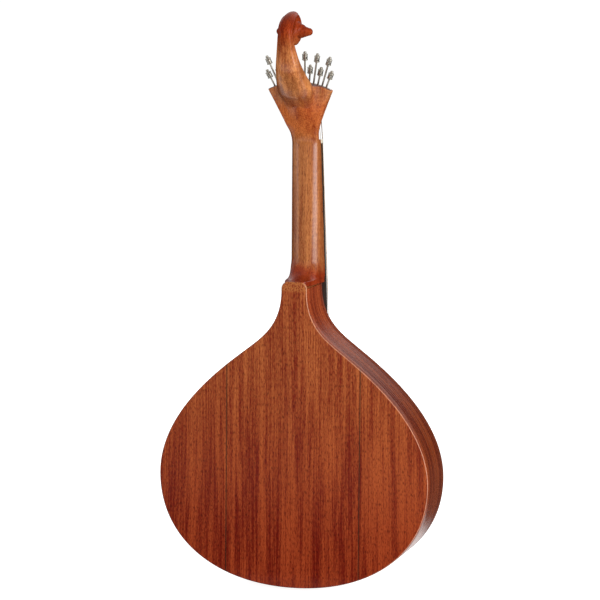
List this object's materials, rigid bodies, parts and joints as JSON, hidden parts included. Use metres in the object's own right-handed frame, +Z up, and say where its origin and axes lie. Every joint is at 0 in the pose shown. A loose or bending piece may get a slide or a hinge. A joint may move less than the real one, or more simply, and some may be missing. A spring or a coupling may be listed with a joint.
{
  "type": "portuguese guitar",
  "caption": "Flat-backed, pear-shaped plucked instrument with a slim neck, a fan-shaped head with tuning screws that pull string hooks, and a carved scroll at the top.",
  "frame": {"origin": "under the middle of the whole instrument, on the level of the tail pins that it stands on", "axes": "+X to the treble side, +Y out of the flat back, +Z up from the tail to the scroll"},
  "size_m": [0.372, 0.1652, 0.7747],
  "materials": {
    "back_boards": "red-brown straight-grained sapele under a gloss varnish",
    "ribs": "dark red-brown sapele under a gloss varnish",
    "inner_wood": "bare light wood",
    "soundboard": "light straight-grained spruce under a gloss varnish",
    "rosette": "dark inlaid ring, level with the soundboard",
    "neck": "orange-brown hardwood under a gloss varnish",
    "fingerboard": "dark close-grained wood with metal frets",
    "bone": "polished bone",
    "bridge": "dark close-grained wood",
    "tailpiece": "nickel-plated, with small pins",
    "tuner_plate": "nickel-plated sheet",
    "tuner_screws": "nickel-plated, with milled knobs",
    "string_hooks": "nickel-plated",
    "strings": "bright drawn steel, the lower ones wound"
  },
  "bodies": {
    "instrument": {"back_right_panel": "back_boards", "back_centre_panel": "back_boards", "back_left_panel": "back_boards", "bass_rib": "ribs", "treble_rib": "ribs", "neck_block": "inner_wood", "tail_block": "inner_wood", "back_brace_1": "inner_wood", "back_brace_2": "inner_wood", "back_brace_3": "inner_wood", "soundboard_brace_1": "inner_wood", "soundboard_brace_2": "inner_wood", "soundboard_brace_3": "inner_wood", "soundboard": "soundboard", "rosette": "rosette", "neck": "neck", "fingerboard": "fingerboard", "nut": "bone", "bridge": "bridge", "saddle": "bone", "end_rest": "bone", "tailpiece": "tailpiece", "tuner_plate": "tuner_plate", "string_1": "strings", "string_2": "strings", "string_3": "strings", "string_4": "strings", "string_5": "strings", "string_6": "strings", "string_7": "strings", "string_8": "strings", "string_9": "strings", "string_10": "strings", "string_11": "strings", "string_12": "strings"},
    "screw_1": {"tuner_screw_1": "tuner_screws"},
    "hook_1": {"string_hook_1": "string_hooks"},
    "screw_2": {"tuner_screw_2": "tuner_screws"},
    "hook_2": {"string_hook_2": "string_hooks"},
    "screw_3": {"tuner_screw_3": "tuner_screws"},
    "hook_3": {"string_hook_3": "string_hooks"},
    "screw_4": {"tuner_screw_4": "tuner_screws"},
    "hook_4": {"string_hook_4": "string_hooks"},
    "screw_5": {"tuner_screw_5": "tuner_screws"},
    "hook_5": {"string_hook_5": "string_hooks"},
    "screw_6": {"tuner_screw_6": "tuner_screws"},
    "hook_6": {"string_hook_6": "string_hooks"},
    "screw_7": {"tuner_screw_7": "tuner_screws"},
    "hook_7": {"string_hook_7": "string_hooks"},
    "screw_8": {"tuner_screw_8": "tuner_screws"},
    "hook_8": {"string_hook_8": "string_hooks"},
    "screw_9": {"tuner_screw_9": "tuner_screws"},
    "hook_9": {"string_hook_9": "string_hooks"},
    "screw_10": {"tuner_screw_10": "tuner_screws"},
    "hook_10": {"string_hook_10": "string_hooks"},
    "screw_11": {"tuner_screw_11": "tuner_screws"},
    "hook_11": {"string_hook_11": "string_hooks"},
    "screw_12": {"tuner_screw_12": "tuner_screws"},
    "hook_12": {"string_hook_12": "string_hooks"}
  },
  "joints": [
    {"name": "screw_1_turn", "type": "hinge", "parent": "instrument", "child": "screw_1", "pos_m": [0, -0.02094, 0.59577], "axis": [-0.3907, 0.2661, 0.8812], "range_deg": [-5765, 2885]},
    {"name": "hook_1_slide", "type": "slide", "parent": "instrument", "child": "hook_1", "axis": [-0.3907, 0.2661, 0.8812], "range_m": [-0.004, 0.008], "deforming": ["string_1"]},
    {"name": "screw_2_turn", "type": "hinge", "parent": "instrument", "child": "screw_2", "pos_m": [0, -0.02094, 0.59577], "axis": [-0.3292, 0.2729, 0.904], "range_deg": [-5765, 2885]},
    {"name": "hook_2_slide", "type": "slide", "parent": "instrument", "child": "hook_2", "axis": [-0.3292, 0.2729, 0.904], "range_m": [-0.004, 0.008], "deforming": ["string_2"]},
    {"name": "screw_3_turn", "type": "hinge", "parent": "instrument", "child": "screw_3", "pos_m": [0, -0.02094, 0.59577], "axis": [-0.2662, 0.2786, 0.9228], "range_deg": [-5765, 2885]},
    {"name": "hook_3_slide", "type": "slide", "parent": "instrument", "child": "hook_3", "axis": [-0.2662, 0.2786, 0.9228], "range_m": [-0.004, 0.008], "deforming": ["string_3"]},
    {"name": "screw_4_turn", "type": "hinge", "parent": "instrument", "child": "screw_4", "pos_m": [0, -0.02094, 0.59577], "axis": [-0.2021, 0.2831, 0.9376], "range_deg": [-5765, 2885]},
    {"name": "hook_4_slide", "type": "slide", "parent": "instrument", "child": "hook_4", "axis": [-0.2021, 0.2831, 0.9376], "range_m": [-0.004, 0.008], "deforming": ["string_4"]},
    {"name": "screw_5_turn", "type": "hinge", "parent": "instrument", "child": "screw_5", "pos_m": [0, -0.02094, 0.59577], "axis": [-0.1371, 0.2863, 0.9483], "range_deg": [-5765, 2885]},
    {"name": "hook_5_slide", "type": "slide", "parent": "instrument", "child": "hook_5", "axis": [-0.1371, 0.2863, 0.9483], "range_m": [-0.004, 0.008], "deforming": ["string_5"]},
    {"name": "screw_6_turn", "type": "hinge", "parent": "instrument", "child": "screw_6", "pos_m": [0, -0.02094, 0.59577], "axis": [-0.0715, 0.2883, 0.9549], "range_deg": [-5765, 2885]},
    {"name": "hook_6_slide", "type": "slide", "parent": "instrument", "child": "hook_6", "axis": [-0.0715, 0.2883, 0.9549], "range_m": [-0.004, 0.008], "deforming": ["string_6"]},
    {"name": "screw_7_turn", "type": "hinge", "parent": "instrument", "child": "screw_7", "pos_m": [0, -0.02094, 0.59577], "axis": [0.0715, 0.2883, 0.9549], "range_deg": [-5765, 2885]},
    {"name": "hook_7_slide", "type": "slide", "parent": "instrument", "child": "hook_7", "axis": [0.0715, 0.2883, 0.9549], "range_m": [-0.004, 0.008], "deforming": ["string_7"]},
    {"name": "screw_8_turn", "type": "hinge", "parent": "instrument", "child": "screw_8", "pos_m": [0, -0.02094, 0.59577], "axis": [0.1371, 0.2863, 0.9483], "range_deg": [-5765, 2885]},
    {"name": "hook_8_slide", "type": "slide", "parent": "instrument", "child": "hook_8", "axis": [0.1371, 0.2863, 0.9483], "range_m": [-0.004, 0.008], "deforming": ["string_8"]},
    {"name": "screw_9_turn", "type": "hinge", "parent": "instrument", "child": "screw_9", "pos_m": [0, -0.02094, 0.59577], "axis": [0.2021, 0.2831, 0.9376], "range_deg": [-5765, 2885]},
    {"name": "hook_9_slide", "type": "slide", "parent": "instrument", "child": "hook_9", "axis": [0.2021, 0.2831, 0.9376], "range_m": [-0.004, 0.008], "deforming": ["string_9"]},
    {"name": "screw_10_turn", "type": "hinge", "parent": "instrument", "child": "screw_10", "pos_m": [0, -0.02094, 0.59577], "axis": [0.2662, 0.2786, 0.9228], "range_deg": [-5765, 2885]},
    {"name": "hook_10_slide", "type": "slide", "parent": "instrument", "child": "hook_10", "axis": [0.2662, 0.2786, 0.9228], "range_m": [-0.004, 0.008], "deforming": ["string_10"]},
    {"name": "screw_11_turn", "type": "hinge", "parent": "instrument", "child": "screw_11", "pos_m": [0, -0.02094, 0.59577], "axis": [0.3292, 0.2729, 0.904], "range_deg": [-5765, 2885]},
    {"name": "hook_11_slide", "type": "slide", "parent": "instrument", "child": "hook_11", "axis": [0.3292, 0.2729, 0.904], "range_m": [-0.004, 0.008], "deforming": ["string_11"]},
    {"name": "screw_12_turn", "type": "hinge", "parent": "instrument", "child": "screw_12", "pos_m": [0, -0.02094, 0.59577], "axis": [0.3907, 0.2661, 0.8812], "range_deg": [-5765, 2885]},
    {"name": "hook_12_slide", "type": "slide", "parent": "instrument", "child": "hook_12", "axis": [0.3907, 0.2661, 0.8812], "range_m": [-0.004, 0.008], "deforming": ["string_12"]}
  ],
  "couplings": [
    {"joint": "screw_1_turn", "follows": "hook_1_slide", "rad_per_m": -12566},
    {"joint": "screw_2_turn", "follows": "hook_2_slide", "rad_per_m": -12566},
    {"joint": "screw_3_turn", "follows": "hook_3_slide", "rad_per_m": -12566},
    {"joint": "screw_4_turn", "follows": "hook_4_slide", "rad_per_m": -12566},
    {"joint": "screw_5_turn", "follows": "hook_5_slide", "rad_per_m": -12566},
    {"joint": "screw_6_turn", "follows": "hook_6_slide", "rad_per_m": -12566},
    {"joint": "screw_7_turn", "follows": "hook_7_slide", "rad_per_m": -12566},
    {"joint": "screw_8_turn", "follows": "hook_8_slide", "rad_per_m": -12566},
    {"joint": "screw_9_turn", "follows": "hook_9_slide", "rad_per_m": -12566},
    {"joint": "screw_10_turn", "follows": "hook_10_slide", "rad_per_m": -12566},
    {"joint": "screw_11_turn", "follows": "hook_11_slide", "rad_per_m": -12566},
    {"joint": "screw_12_turn", "follows": "hook_12_slide", "rad_per_m": -12566}
  ]
}
